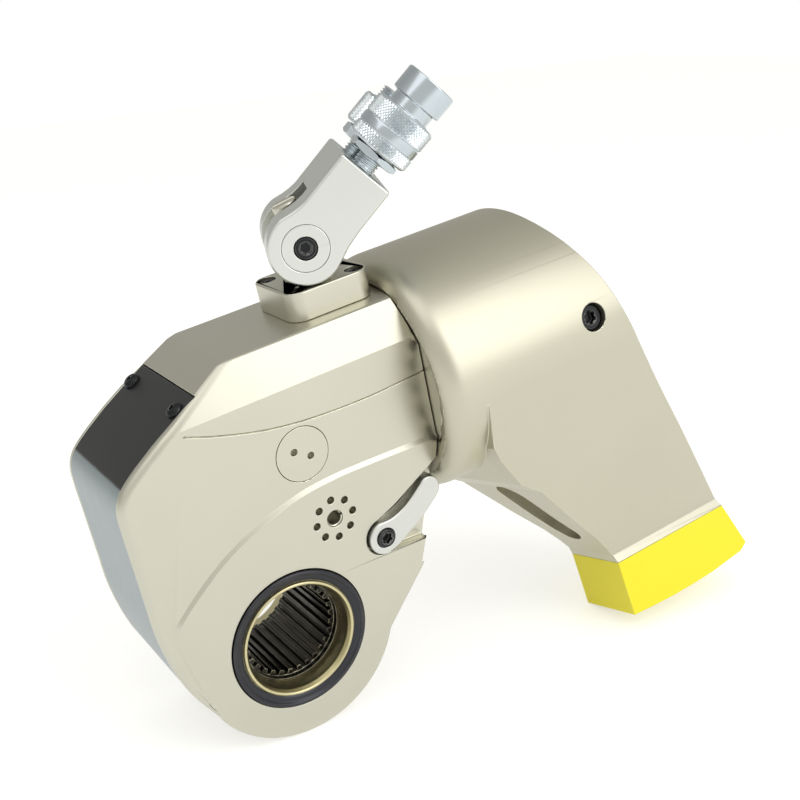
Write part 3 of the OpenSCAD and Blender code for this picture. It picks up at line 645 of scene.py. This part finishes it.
class WRENCH_OT_front_plates(bpy.types.Operator):
    """Models the bent black plate, the grey plate under it, whose grey is painted reflection of the floor,
    and their two button-head screws
    """

    bl_idname = "wrench.front_plates"
    bl_label = "Front plates"

    def execute(self, context):
        edge = context.scene.wrench_sizes.edge_round / MM
        line = [(-53.2, -5.6)] + PLATED + [(-16, 129.0)]
        inner = [(x + 2.65, z - 2.15) for x, z in reversed(line)]
        sheet = slab([(x + 0.15, z - 0.1) for x, z in line] + inner, -PLATE_HALF, PLATE_HALF, DRIVE)
        upper = sheet.copy()
        for bm, keep in ((upper, -1), (sheet, 1)):
            trimmed(bm, (0, 0, PLATE_Z - 0.1 * keep), (0, 0, keep))
        piece(upper, "upper_front_plate", finish("black_sheet"), ["front_shroud"], edge)
        # The lower part of the sheet is grey: painted reflection of the floor.
        piece(sheet, "lower_front_plate", finish("grey_sheet"), ["lower_shroud"], edge)
        screws = []
        for side in (-1, 1):
            place = Matrix.Translation((-23.8, 25.5 * side, 124.4))
            head = turned([(0, -9), (2, -9), (2, 0.2), (4, 0.2), (4.0, 0.8), (3.75, 1.35), (3.1, 1.95),
                           (2.2, 2.4), (0, 2.4)], steps=48)
            head = carved(head, [drum(2.5 / math.sqrt(3), 0.9, 4, steps=6)])
            screws.append(moved(head, place @ Matrix.Rotation(math.radians(-30.3), 4, "Y")))
        piece(together(*screws), "plate_screws", finish("black_oxide"), ["shroud_screws"], 0.12)
        return {"FINISHED"}


def socket_screw(radius, height, shank, depth, across, sink, place):
    """A cap screw: a cylinder head with an eased rim and a hexagon socket, head seat at local zero."""
    rim = 0.12 * radius
    corner = across / math.sqrt(3)
    head = turned([(0, -depth), (shank, -depth), (shank, 0), (radius, 0), (radius, height - rim),
                   (radius - rim, height), (0, height)], steps=64)
    lead = turned([(0, height - 0.5), (corner - 0.35, height - 0.5), (corner + 0.35, height + 0.2),
                   (0, height + 0.2)], steps=48)
    head = carved(head, [drum(corner, height - sink, height + 1, steps=6), lead])
    return moved(head, place)


def base_spots():
    """Places of the base's four screws in X and Y."""
    return [(SWIVEL_X + BASE_SCREWS[0] * x, BASE_SCREWS[1] * y) for x in (-1, 1) for y in (-1, 1)]


class WRENCH_OT_cap_screws(bpy.types.Operator):
    """Models the black socket-head screws of the swivel base, the fork pin, the lever and the arm"""

    bl_idname = "wrench.cap_screws"
    bl_label = "Cap screws"

    def execute(self, context):
        black = finish("black_oxide")
        base = [socket_screw(4.25, 5, 2.5, 20.5, 4, 2.5, Matrix.Translation((x, y, TOP_Z + 7.5)))
                for x, y in base_spots()]
        piece(together(*base), "base_cap_screws", black, ["base_screws"], 0.15)
        pin = [socket_screw(5.3, 2.2, 3, 11.9, 5, 1.7, FORK @ Matrix.Rotation(math.pi / 2 * y, 4, "X")
                            @ Matrix.Translation((0, 0, 18.4))) for y in (-1, 1)]
        piece(together(*pin), "pin_cap_screws", black, ["pin_screws"], 0.15)
        lever = crosswise(LEVER) @ Matrix.Translation((0, 0, BODY_HALF - 1.5))
        piece(socket_screw(4.7, 4.9, 3, 22, 5, 3, lever), "lever_cap_screw", black, ["lever_screw"], 0.2)
        arm = ARM @ crosswise(ARM_BOLT) @ Matrix.Translation((0, 0, 52))
        piece(socket_screw(6.4, 5, 4, 35, 6, 3.5, arm), "arm_cap_screw", black, ["arm_screw"], 0.2)
        return {"FINISHED"}


class WRENCH_OT_drive(bpy.types.Operator):
    """Models the side plug, the bronze bushes, the retaining rings and the splined ratchet wheel"""

    bl_idname = "wrench.drive"
    bl_label = "Drive"

    def execute(self, context):
        plug = drum(12.8, 25, UPPER_HALF, steps=80)
        holes = [drum(1.7, UPPER_HALF - 4, PAST, Matrix.Translation((3.7 * x, -2.3 * x, 0)), 24)
                 for x in (-1, 1)]
        plug = moved(carved(plug, [together(*holes)]), crosswise(PLUG))
        piece(plug, "access_plug", finish("satin_nickel"), ["side_plug"], 0.18)
        far = Matrix.Rotation(math.pi, 4, "X") @ DRIVE
        face = BODY_HALF
        for name, place in (("near", DRIVE), ("far", far)):
            bush = turned([(25.5, 21.9), (29.5, 21.9), (29.5, face - 1.4), (28.5, face - 1.2),
                           (28.4, face - 0.2), (28.1, face + 0.2), (27.6, face + 0.4), (27.1, face + 0.25),
                           (26.7, face - 0.3), (26.2, face - 1.6), (25.5, face - 2.6)], place, 128)
            piece(bush, f"bronze_bush_{name}", finish("bronze"), [f"drive_bush_{name}"])
            ring = turned([(29.55, face - 4), (34, face - 4), (34, face + 0.3), (33.75, face + 0.8),
                           (33.2, face + 1.1), (32.6, face + 1.15), (32.1, face + 0.9), (31.7, face + 0.3),
                           (31.2, face - 0.05), (30.2, face - 0.25), (29.4, face - 0.5), (28.6, face - 1.1),
                           (29.55, face - 1.3)], place, 128)
            piece(ring, f"black_ring_{name}", finish("ring_steel"), [f"retaining_ring_{name}"])
        wheel = slab(toothed(40, 37, 40, 4.1, 0.9), -12.6, 12.6, DRIVE)
        wheel = carved(wheel, [drum(30, -21.3, 21.3, DRIVE, 96), drum(25.45, -27, 27, DRIVE, 128)], "UNION")
        pilots = [turned([(20, 24), (24, 24), (24, 30), (20, 30)], place, 128) for place in (DRIVE, far)]
        wheel = carved(wheel, [slab(toothed(30, 21.2, 23.6, 3.2, 2.2), -33, 33, DRIVE), *pilots])
        piece(wheel, "splined_ratchet", finish("hard_steel"), ["ratchet_wheel"], 0.22, limit=32)
        return {"FINISHED"}


class WRENCH_OT_lever(bpy.types.Operator):
    """Models the release lever with its thumb tip"""

    bl_idname = "wrench.lever"
    bl_label = "Release lever"

    def execute(self, context):
        hub = arc(LEVER[0], LEVER[1], 8.4, 100, 268, 22)
        rest = flow([hub[-1], (59, 23.4), (66, 27), (73.5, 31), (80, 35.6), (83.8, 38.6), (86, 41.5),
                     (86.4, 45.2), (84.9, 48.5), (81.8, 50.2), (78.6, 49.6), (75.5, 47.2), (67, 41.2),
                     (58.5, 38.2), hub[0]])
        lever = slab(hub + rest[1:-1], BODY_HALF - 5.2, BODY_HALF + 2.2, DRIVE)
        pivot = crosswise(LEVER)
        lever = eased(lever, 0.8, 3, 50)
        lever = carved(lever, [drum(4.9, BODY_HALF - 1.5, PAST, pivot), drum(3.05, 0, PAST, pivot)])
        piece(lever, "thumb_lever", finish("lever_steel"), ["release_lever"], 0.25)
        return {"FINISHED"}


class WRENCH_OT_swivel(bpy.types.Operator):
    """Models the swivel base with its counterbores, and the post with its eye and its slotted screw"""

    bl_idname = "wrench.swivel"
    bl_label = "Swivel base and post"

    def execute(self, context):
        outline = []
        for x, y, start in ((1, 1, 0), (-1, 1, 90), (-1, -1, 180), (1, -1, 270)):
            outline += arc(SWIVEL_X + 13.5 * x, 12 * y, 8, start, start + 90, 10)
        base = eased(slab(outline, TOP_Z, TOP_Z + 13.5), 0.7, 3, 50)
        sinks = [drum(4.5, TOP_Z + 7.5, TOP_Z + 20, Matrix.Translation((x, y, 0)), 40)
                 for x, y in base_spots()]
        middle = Matrix.Translation((SWIVEL_X, 0, 0))
        base = carved(base, [together(*sinks), drum(12.05, TOP_Z - 1, TOP_Z + 20, middle),
                             drum(16.6, TOP_Z - 1, TOP_Z + 3.5, middle)])
        piece(base, "swivel_base_block", finish("satin_nickel"), ["swivel_base"], 0.25)
        steps = [(0, 0.6), (10.4, 0.6), (10.4, 2.6), (12, 2.6), (12, 5.5), (10.6, 5.5), (10.6, 7.5),
                 (12, 7.5), (12, 9.5), (10.6, 9.5), (10.6, 11.5), (12, 11.5), (12, 13.6), (0, 13.6)]
        post = turned([(radius, TOP_Z + height) for radius, height in steps], steps=64)
        cheek = slab([(-11, TOP_Z + 12), (11, TOP_Z + 12), (11, PIN_Z), (-11, PIN_Z)], -7.9, 7.9, DRIVE)
        cheek = carved(cheek, [drum(12, TOP_Z, PIN_Z + 1)], "INTERSECT")
        pin = crosswise((0, PIN_Z))
        eye = drum(14.5, -7.9, 7.9, pin, 72)
        lean = Matrix.Translation((0, 0, PIN_Z)) @ Matrix.Rotation(math.radians(-14), 4, "Y")
        screw = turned([(0, 11), (6, 11), (6, 17.6), (5.5, 18.1), (0, 18.1)], steps=48)
        screw = carved(screw, [slab([(-9, -0.8), (9, -0.8), (9, 0.8), (-9, 0.8)], 16.6, 20)])
        post = carved(post, [cheek, eye, moved(screw, lean)], "UNION")
        post = carved(post, [drum(8.05, -20, 20, pin)])
        piece(moved(post, SWIVEL), "swivel_post_eye", finish("satin_nickel"), ["swivel_post"], 0.5)
        return {"FINISHED"}


class WRENCH_OT_hose_block(bpy.types.Operator):
    """Models the forked hose block and its pin"""

    bl_idname = "wrench.hose_block"
    bl_label = "Hose block"

    def execute(self, context):
        sizes = context.scene.wrench_sizes
        outline = arc(0, 0, 17.2, 80, 276, 40) + [(5.6, -16.3), (12, -14.7), (20, -13.8), (42, -13.3),
                                                  (42, 14.1), (16, 13.7), (12, 14.2), (8, 15.2)]
        block = eased(slab(outline, -21, 21, DRIVE), sizes.block_round / MM, 4, 28)
        slot = [(-30, -30), (19.5, -30), (19.5, 30), (-30, 30)]
        tools = [slab(slot, -8.3, 8.3, DRIVE), drum(8.05, -40, 40, DRIVE), drum(10.8, 17, 40, DRIVE, 72),
                 drum(10.8, -40, -17, DRIVE, 72)]
        tools += [drum(5.55, 28, 60, port_place(side), 48) for side in (-1, 1)]
        block = moved(carved(block, tools), FORK)
        piece(block, "hose_block", finish("fork_silver"), ["swivel_fork"], 0.3)
        pin = turned([(0, -20.9), (10.45, -20.9), (10.75, -20.6), (10.75, -17), (8, -17), (8, 17),
                      (10.75, 17), (10.75, 20.6), (10.45, 20.9), (0, 20.9)], DRIVE, 72)
        pin = carved(pin, [drum(5.4, 18.4, 40, DRIVE), drum(5.4, -40, -18.4, DRIVE),
                           drum(3.05, 6, 40, DRIVE), drum(3.05, -40, -6, DRIVE)])
        piece(moved(pin, FORK), "hose_block_pin", finish("fork_silver"), ["fork_pin"], 0.25)
        return {"FINISHED"}


def nut(radius, low, high, place):
    """A hexagon with its corners turned off at both ends."""
    ease = 0.13 * radius
    small = radius - 1.2 * ease
    cone = turned([(0, low), (small, low), (radius, low + 0.6 * ease), (radius, high - 0.6 * ease),
                   (small, high), (0, high)], steps=72)
    return moved(carved(drum(radius, low, high, steps=6), [cone], "INTERSECT"), place)


class WRENCH_OT_couplers(bpy.types.Operator):
    """Models the two hose couplers: threaded stems, hexagons, knurled sleeves and valve poppets"""

    bl_idname = "wrench.couplers"
    bl_label = "Hose couplers"

    def execute(self, context):
        sizes = context.scene.wrench_sizes
        zinc = finish("zinc")
        near = FORK @ port_place(-1)
        body = turned([(3, 28.2), (4.7, 28.2), (4.7, 47.2), (8.1, 48), (8.5, 48.6), (8.5, 51.6),
                       (11.2, 51.6), (11.2, 72.4), (9.9, 72.8), (9.9, 77.4), (11.8, 77.8), (12.1, 78.2),
                       (12.1, 88.4), (11.6, 89), (9.3, 89), (8.9, 88.6), (7.4, 87.2), (7.4, 66),
                       (3, 66)], near)
        stem = thread(4.6, 5.5, 34, 49.4, 1.6, near)
        piece(together(body, nut(12.6, 47.9, 51.4, near), stem), "coupler_near", zinc, ["coupler_body_near"],
              0.15)
        sleeve = turned([(11.25, 51.8), (13.8, 51.8), (14.3, 52.4), (14.3, 58.1), (14.55, 58.4), (14.7, 59),
                         (14.7, 62), (14.55, 62.6), (14.3, 62.9), (14.3, 71.6), (13.8, 72.2),
                         (11.25, 72.2)], near, 112)
        bands = [knurled(14.3, 52.5, 58, sizes.knurl_near, 0.68, near),
                 knurled(14.3, 63, 71.5, sizes.knurl_near, 0.68, near)]
        piece(together(sleeve, *bands), "knurled_sleeve_near", zinc, ["coupler_sleeve_near"], limit=20)
        poppet = turned([(0, 71), (7.35, 71), (7.35, 81), (5.2, 83.4), (3.4, 84), (0, 84)], near, 48)
        piece(poppet, "poppet_near", finish("ground_steel"), ["coupler_poppet_near"], 0.2)
        far = FORK @ port_place(1)
        body = turned([(3, 28.2), (4.7, 28.2), (4.7, 47.2), (7.6, 48), (8, 48.6), (8, 53.6), (10, 53.6),
                       (10, 69.4), (8.1, 70), (8.1, 75.4), (7.6, 76), (6.3, 76), (5.95, 75.4), (5.95, 62),
                       (3, 62)], far, 80)
        stem = thread(4.6, 5.5, 34, 49.4, 1.6, far)
        mouth = thread(8.0, 8.95, 69.6, 77.2, 1.4, far)
        piece(together(body, nut(12, 47.9, 53.2, far), stem, mouth), "coupler_far", zinc,
              ["coupler_body_far"], 0.15)
        sleeve = turned([(10.05, 53.8), (12.4, 53.8), (12.9, 54.4), (12.9, 68.6), (12.4, 69.2),
                         (10.05, 69.2)], far)
        band = knurled(12.9, 54.5, 68.5, sizes.knurl_far, 0.66, far)
        piece(together(sleeve, band), "knurled_sleeve_far", zinc, ["coupler_sleeve_far"], limit=20)
        poppet = turned([(0, 66), (5.9, 66), (5.9, 71), (3.6, 73.6), (0, 74)], far, 40)
        piece(poppet, "poppet_far", finish("ground_steel"), ["coupler_poppet_far"], 0.2)
        return {"FINISHED"}


# Outlines of the arm in X and Z, before its turn about the cylinder: front of the web, back of the whole.
ARM_FRONT = [(107.5, 84), (107.5, 46), (110.5, 38), (120, 21.4), (126, 16.6), (131, 13), (150, -12.5),
             (162, -27.5), (168, -36.5), (171, -42), (172.5, FOOT_Z), (172.5, -120), (400, -120), (400, 84)]
ARM_BACK = [(60, 170), (60, -76.5), (172.4, -76.5), (186.5, -77.6), (200.5, -78.2), (215, -78.3),
            (230, -77.8), (252, -75.6), (257, -72.5)]
ARM_BACK += flow([(248, FOOT_Z), (236, -18), (224, 10), (211, 39), (199.5, 67), (192.5, 85.5), (186.5, 104),
                  (179, 124), (173.5, 138), (170, 151), (166, 170)], 3)


class WRENCH_OT_arm(bpy.types.Operator):
    """Models the reaction arm with its collar and web, and the yellow foot"""

    bl_idname = "wrench.arm"
    bl_label = "Reaction arm"

    def execute(self, context):
        sizes = context.scene.wrench_sizes
        collar = turned([(0, 86.9), (50, 86.9), (52.2, 87.2), (54, 87.9), (55.6, 88.9), (57.1, 90.2),
                         (58.3, 91.8), (59.2, 93.8), (59.75, 96), (60, 98.6), (60, 260), (0, 260)],
                        CYLINDER, 360)
        section = [(FOOT_HALF, -90), (FOOT_HALF, FOOT_Z), (FOOT_HALF - 1.05, FOOT_Z + 5),
                   (56.87, CYLINDER_Z - 19), (40, CYLINDER_Z)]
        section += [(-y, z) for y, z in reversed(section)]
        web = carved(slab(section, 40, 340, LENGTHWISE), [slab(ARM_FRONT, -70, 70, DRIVE)], "INTERSECT")
        whole = carved(collar, [web], "UNION")
        whole = carved(whole, [slab(ARM_BACK, -80, 80, DRIVE)], "INTERSECT")
        foot = whole.copy()
        for bm, keep in ((foot, 1), (whole, -1)):
            trimmed(bm, (0, 0, FOOT_Z), (0, 0, keep))
        turn = Matrix.Rotation(math.radians(15), 4, "Z")
        splines = slab(toothed(ARM_SPLINES, 44.3, 47.3, 5.4, 3.5), 60, 163, CYLINDER @ turn)
        mouth = turned([(0, 60), (62, 60), (62, 83.3), (42, 92.5), (0, 92.5)], CYLINDER, 180)
        pocket = (Matrix.Translation((148, 0, -9.5)) @ Matrix.Rotation(math.radians(-36), 4, "Y")
                  @ Matrix.Rotation(math.pi / 2, 4, "Y"))
        hollow = slab(arc(-17, 0, 11, 90, 270, 20) + arc(17, 0, 11, -90, 90, 20), -7, 9, pocket)
        bolt = crosswise(ARM_BOLT)
        arm = carved(whole, [splines, drum(16.4, 160, 179.5, CYLINDER), mouth, hollow,
                             drum(6.8, 52, 70, bolt), drum(4.05, 10, 70, bolt)])
        piece(moved(arm, ARM), "reaction_arm_forging", finish("arm_nickel"), ["reaction_arm"],
              sizes.edge_round / MM, limit=24, hard=True)
        piece(moved(foot, ARM), "yellow_foot", finish("yellow_foot"), ["foot_cover"], 0.4)
        return {"FINISHED"}


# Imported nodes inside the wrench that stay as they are, by finish.
KEPT = {
    "bronze": ["rod_gland"],
    "seal_rubber": ["rod_seal", "cap_seal", "piston_seal", "post_seals"],
    "ground_steel": ["cylinder_cap", "piston", "pawl_pin", "rod_pin", "lever_shaft", "drive_plate_near",
                     "drive_plate_far"],
    "hard_steel": ["drive_pawl", "reaction_pawl"],
    "rod_chrome": ["piston_rod"],
    "ring_steel": ["post_ring"],
}


class WRENCH_OT_inner_pieces(bpy.types.Operator):
    """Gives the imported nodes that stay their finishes"""

    bl_idname = "wrench.inner_pieces"
    bl_label = "Inner pieces"

    def execute(self, context):
        for slot, names in KEPT.items():
            for name in names:
                made = frame["nodes"][name]
                made.data.materials.clear()
                made.data.materials.append(finishes()[slot])
        return {"FINISHED"}


# Tilt of the floor in degrees and its height on the drive axis in millimetres.
FLOOR_TILT = 8.4
FLOOR_Z = -50.8

# Soft boxes: name, place, width and height in metres, and power in watts. Both face the wrench's middle.
LAMPS = (("overhead_box", (-0.25, -0.35, 1.15), 0.9, 0.9, 2.0),
         ("front_box", (0.66, -1.15, 0.74), 0.9, 1.5, 8.2))
MIDDLE = Vector((0.06, 0, 0.06))


class WRENCH_OT_stage(bpy.types.Operator):
    """Sets up the floor, the studio light and the camera"""

    bl_idname = "wrench.stage"
    bl_label = "Stage"

    def execute(self, context):
        self.floor(context.scene.wrench_sizes.floor_size)
        self.light(context.scene)
        self.camera(context.scene)
        return {"FINISHED"}

    def seen(self, tree):
        """Two shares that pick out rays: those to the camera, and those seen in metal or glass."""
        rays = node(tree, "ShaderNodeLightPath")
        mirrored = node(tree, "ShaderNodeMath", None,
                        {0: rays.outputs["Is Glossy Ray"], 1: rays.outputs["Is Transmission Ray"]},
                        operation="MAXIMUM")
        return rays.outputs["Is Camera Ray"], mirrored.outputs["Value"]

    def floor(self, side):
        """A pale floor on which the nose and the foot rest; it keeps their shadow."""
        bm = bmesh.new()
        bmesh.ops.create_grid(bm, x_segments=1, y_segments=1, size=side / 2)
        bmesh.ops.rotate(bm, matrix=Matrix.Rotation(math.radians(FLOOR_TILT), 3, "Y"), verts=bm.verts)
        bmesh.ops.translate(bm, vec=(0.0, 0.0, FLOOR_Z * MM), verts=bm.verts)
        mesh = bpy.data.meshes.new("studio_floor")
        bm.to_mesh(mesh)
        bm.free()
        material = bpy.data.materials.new("white_paper_sweep")
        material.use_nodes = True
        material.cycles.emission_sampling = "NONE"
        tree = material.node_tree
        tree.nodes.clear()
        camera, mirrored = self.seen(tree)
        shown = node(tree, "ShaderNodeMath", None, {0: camera, 1: mirrored}, operation="MAXIMUM")
        glow = node(tree, "ShaderNodeMath", {1: 0.5}, {0: shown.outputs["Value"]}, operation="MULTIPLY")
        paper = node(tree, "ShaderNodeBsdfDiffuse", {"Color": srgb("dcdcda")})
        white = node(tree, "ShaderNodeEmission", {"Color": (1, 1, 1, 1)},
                     {"Strength": glow.outputs["Value"]})
        both = node(tree, "ShaderNodeAddShader", None, {0: paper.outputs[0], 1: white.outputs[0]})
        node(tree, "ShaderNodeOutputMaterial", None, {"Surface": both.outputs[0]})
        mesh.materials.append(material)
        floor = bpy.data.objects.new("studio_floor", mesh)
        bpy.context.scene.collection.objects.link(floor)

    def light(self, scene):
        """A white room that darkens to its back, one soft box overhead and one in front at the right."""
        world = bpy.data.worlds.new("studio_room")
        scene.world = world
        world.use_nodes = True
        world.cycles.sampling_method = "NONE"
        tree = world.node_tree
        tree.nodes.clear()
        way = node(tree, "ShaderNodeTexCoord")
        split = node(tree, "ShaderNodeSeparateXYZ", None, {"Vector": way.outputs["Generated"]})
        depth = node(tree, "ShaderNodeMapRange",
                     {"From Min": -0.5, "From Max": 0.7, "To Min": 0.85, "To Max": 0.55},
                     {"Value": split.outputs["Y"]}, interpolation_type="SMOOTHSTEP")
        camera, mirrored = self.seen(tree)
        warm = srgb("fbfaf5")
        fill = node(tree, "ShaderNodeBackground", {"Color": warm, "Strength": 0.74})
        sweep = node(tree, "ShaderNodeBackground", {"Color": warm}, {"Strength": depth.outputs["Result"]})
        white = node(tree, "ShaderNodeBackground", {"Color": (1, 1, 1, 1), "Strength": 1.0})
        room = node(tree, "ShaderNodeMixShader", None,
                    {0: mirrored, 1: fill.outputs[0], 2: sweep.outputs[0]})
        mixed = node(tree, "ShaderNodeMixShader", None,
                     {0: camera, 1: room.outputs[0], 2: white.outputs[0]})
        node(tree, "ShaderNodeOutputWorld", None, {"Surface": mixed.outputs[0]})
        for name, place, wide, high, watts in LAMPS:
            lamp = bpy.data.lights.new(name, "AREA")
            lamp.shape = "RECTANGLE"
            lamp.size = wide
            lamp.size_y = high
            lamp.energy = watts
            made = bpy.data.objects.new(name, lamp)
            made.location = place
            made.rotation_euler = (MIDDLE - Vector(place)).to_track_quat("-Z", "Y").to_euler()
            scene.collection.objects.link(made)
        scene.view_settings.view_transform = "Standard"

    def camera(self, scene):
        """The photograph's place, turn and focal length."""
        optics = bpy.data.cameras.new("studio_camera")
        optics.lens = 54.27
        optics.sensor_width = 36.0
        optics.clip_start = 0.05
        made = bpy.data.objects.new("studio_camera", optics)
        right = Vector((0.828, -0.529, -0.187)).normalized()
        back = Vector((-0.428, -0.811, 0.399)).normalized()
        up = back.cross(right).normalized()
        turn = Matrix((right, up, right.cross(up))).transposed().to_4x4()
        place = Vector((-0.1606, -0.4830, 0.3123)) + 0.0007 * right - 0.0001 * up
        made.matrix_world = Matrix.Translation(place) @ turn
        scene.collection.objects.link(made)
        scene.camera = made


class WRENCH_PT_pieces(bpy.types.Panel):
    """Lists the pieces in the order they are built"""

    bl_idname = "WRENCH_PT_pieces"
    bl_label = "Torque wrench"
    bl_space_type = "VIEW_3D"
    bl_region_type = "UI"
    bl_category = "Wrench"

    def draw(self, context):
        for step in STEPS:
            self.layout.operator(step.bl_idname)
        for group in (context.scene.wrench_sizes, context.scene.wrench_colours):
            for name in group.__annotations__:
                self.layout.prop(group, name)


STEPS = (WRENCH_OT_housing, WRENCH_OT_front_plates, WRENCH_OT_cap_screws, WRENCH_OT_drive, WRENCH_OT_lever,
         WRENCH_OT_swivel, WRENCH_OT_hose_block, WRENCH_OT_couplers, WRENCH_OT_arm, WRENCH_OT_inner_pieces,
         WRENCH_OT_stage)
CLASSES = (WrenchColours, WrenchSizes, *STEPS, WRENCH_PT_pieces)


def register():
    """Adds the classes and the scene's properties."""
    for made in CLASSES:
        bpy.utils.register_class(made)
    bpy.types.Scene.wrench_colours = bpy.props.PointerProperty(type=WrenchColours)
    bpy.types.Scene.wrench_sizes = bpy.props.PointerProperty(type=WrenchSizes)


def unregister():
    """Takes them away again."""
    del bpy.types.Scene.wrench_sizes
    del bpy.types.Scene.wrench_colours
    for made in reversed(CLASSES):
        bpy.utils.unregister_class(made)


def main():
    """Builds every piece in order."""
    register()
    for step in STEPS:
        group, name = step.bl_idname.split(".")
        getattr(getattr(bpy.ops, group), name)()


if __name__ == "__main__":
    main()
